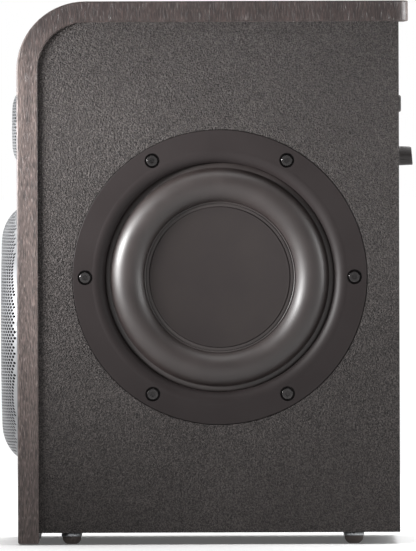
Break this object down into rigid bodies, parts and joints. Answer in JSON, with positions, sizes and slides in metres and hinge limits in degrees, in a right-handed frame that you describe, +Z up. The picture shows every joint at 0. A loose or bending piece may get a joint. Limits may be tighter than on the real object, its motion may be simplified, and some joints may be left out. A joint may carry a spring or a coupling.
{
  "type": "active monitor loudspeaker",
  "caption": "Compact active monitor loudspeaker with a bent veneered shell, domed metal grilles and a passive radiator in each side.",
  "frame": {"origin": "on the floor under the middle of the overall box, at the level the feet stand on", "axes": "+Z up; the grilles face -Y and the controls and sockets face +Y; the passive radiators face +X and -X"},
  "size_m": [0.16, 0.2062, 0.27],
  "materials": {
    "veneer": "open-grain smoked veneer, vertical grain, clear satin lacquer",
    "panel_paint": "fibreboard with a fine granular matt paint",
    "raw_board": "bare fibreboard",
    "brass": "plain turned brass",
    "black_plate": "fine black powder coat",
    "black_screws": "black zinc",
    "bay_plastic": "fine moulded grain",
    "socket_plastic": "smooth moulding",
    "plated_barrel": "nickel plated",
    "control_plastic": "satin moulding",
    "bare_aluminium": "extruded, bare",
    "circuit_board": "green solder resist",
    "transformer_wrap": "winding under tape",
    "radiator_frame": "smooth satin moulding",
    "surround_rubber": "smooth satin rubber",
    "radiator_disc": "fine matt black coat",
    "steel": "zinc plated",
    "ferrite": "sintered, matt",
    "cast_basket": "cast, black painted",
    "cone": "coated woven cone",
    "coil": "wire on a foil former",
    "spider_cloth": "resin-dipped cloth",
    "dome_cloth": "coated silk",
    "grille_metal": "silver perforated sheet, satin",
    "tweeter_plastic": "satin moulding",
    "lead": "insulated cable",
    "foot_rubber": "soft moulded pad under a plated disc"
  },
  "bodies": {
    "cabinet": {"front_top_shell": "veneer", "right_side_panel": "panel_paint", "left_side_panel": "panel_paint", "bottom_panel": "panel_paint", "back_panel": "panel_paint", "cabinet_brace": "raw_board", "threaded_inserts": "brass", "amp_plate": "black_plate", "amp_plate_screws": "black_screws", "connector_bay": "bay_plastic", "mains_inlet": "socket_plastic", "power_switch_body": "socket_plastic", "xlr_socket": "socket_plastic", "rca_socket": "plated_barrel", "potentiometers": "socket_plastic", "slide_switch_bodies": "socket_plastic", "heat_sink": "bare_aluminium", "amp_board": "circuit_board", "power_transformer": "transformer_wrap", "right_radiator_frame": "radiator_frame", "right_radiator_surround": "surround_rubber", "right_radiator_screws": "black_screws", "left_radiator_frame": "radiator_frame", "left_radiator_surround": "surround_rubber", "left_radiator_screws": "black_screws", "woofer_basket": "cast_basket", "woofer_top_plate": "steel", "woofer_magnet": "ferrite", "woofer_yoke": "steel", "woofer_spider": "spider_cloth", "woofer_surround": "surround_rubber", "woofer_grille": "grille_metal", "woofer_screws": "black_screws", "tweeter_faceplate": "tweeter_plastic", "tweeter_suspension": "dome_cloth", "tweeter_motor": "steel", "tweeter_rear_cup": "tweeter_plastic", "tweeter_grille": "grille_metal", "woofer_lead": "lead", "tweeter_lead": "lead"},
    "woofer_moving_parts": {"woofer_cone": "cone", "woofer_dust_cap": "cone", "woofer_voice_coil": "coil"},
    "tweeter_moving_parts": {"tweeter_diaphragm": "dome_cloth", "tweeter_voice_coil": "coil"},
    "right_radiator_moving_parts": {"right_radiator_disc": "radiator_disc", "right_radiator_weight": "steel"},
    "left_radiator_moving_parts": {"left_radiator_disc": "radiator_disc", "left_radiator_weight": "steel"},
    "power_rocker": {"power_rocker": "control_plastic"},
    "high_pass_slider": {"high_pass_slider": "control_plastic"},
    "sensitivity_slider": {"sensitivity_slider": "control_plastic"},
    "standby_button": {"standby_button": "control_plastic"},
    "low_shelf_knob": {"low_shelf_knob": "control_plastic"},
    "low_mid_knob": {"low_mid_knob": "control_plastic"},
    "high_shelf_knob": {"high_shelf_knob": "control_plastic"},
    "foot_front_right": {"foot_front_right": "foot_rubber"},
    "foot_front_left": {"foot_front_left": "foot_rubber"},
    "foot_rear_right": {"foot_rear_right": "foot_rubber"},
    "foot_rear_left": {"foot_rear_left": "foot_rubber"}
  },
  "joints": [
    {"name": "woofer_stroke", "type": "slide", "parent": "cabinet", "child": "woofer_moving_parts", "axis": [0, -1, 0], "range_m": [-0.004, 0.004], "stiffness_N_per_m": 900, "deforming": ["woofer_surround", "woofer_spider"]},
    {"name": "tweeter_stroke", "type": "slide", "parent": "cabinet", "child": "tweeter_moving_parts", "axis": [0, -1, 0], "range_m": [-0.0004, 0.0004], "stiffness_N_per_m": 400, "deforming": ["tweeter_suspension"]},
    {"name": "right_radiator_stroke", "type": "slide", "parent": "cabinet", "child": "right_radiator_moving_parts", "axis": [1, 0, 0], "range_m": [-0.005, 0.005], "stiffness_N_per_m": 1500, "deforming": ["right_radiator_surround"]},
    {"name": "left_radiator_stroke", "type": "slide", "parent": "cabinet", "child": "left_radiator_moving_parts", "axis": [-1, 0, 0], "range_m": [-0.005, 0.005], "stiffness_N_per_m": 1500, "deforming": ["left_radiator_surround"]},
    {"name": "power_rocker_tilt", "type": "hinge", "parent": "cabinet", "child": "power_rocker", "pos_m": [0.024, 0.07773, 0.054], "axis": [1, 0, 0], "range_deg": [0, 14]},
    {"name": "high_pass_slide", "type": "slide", "parent": "cabinet", "child": "high_pass_slider", "axis": [1, 0, 0], "range_m": [0, 0.006]},
    {"name": "sensitivity_slide", "type": "slide", "parent": "cabinet", "child": "sensitivity_slider", "axis": [1, 0, 0], "range_m": [0, 0.003]},
    {"name": "standby_button_press", "type": "slide", "parent": "cabinet", "child": "standby_button", "axis": [0, -1, 0], "range_m": [0, 0.0015], "stiffness_N_per_m": 600},
    {"name": "low_shelf_knob_turn", "type": "hinge", "parent": "cabinet", "child": "low_shelf_knob", "pos_m": [-0.03, 0.09573, 0.1924], "axis": [0, 1, 0], "range_deg": [-150, 150]},
    {"name": "low_mid_knob_turn", "type": "hinge", "parent": "cabinet", "child": "low_mid_knob", "pos_m": [0, 0.09573, 0.1924], "axis": [0, 1, 0], "range_deg": [-150, 150]},
    {"name": "high_shelf_knob_turn", "type": "hinge", "parent": "cabinet", "child": "high_shelf_knob", "pos_m": [0.03, 0.09573, 0.1924], "axis": [0, 1, 0], "range_deg": [-150, 150]},
    {"name": "foot_front_right_height", "type": "slide", "parent": "cabinet", "child": "foot_front_right", "axis": [0, 0, -1], "range_m": [0, 0.005]},
    {"name": "foot_front_left_height", "type": "slide", "parent": "cabinet", "child": "foot_front_left", "axis": [0, 0, -1], "range_m": [0, 0.005]},
    {"name": "foot_rear_right_height", "type": "slide", "parent": "cabinet", "child": "foot_rear_right", "axis": [0, 0, -1], "range_m": [0, 0.005]},
    {"name": "foot_rear_left_height", "type": "slide", "parent": "cabinet", "child": "foot_rear_left", "axis": [0, 0, -1], "range_m": [0, 0.005]}
  ]
}
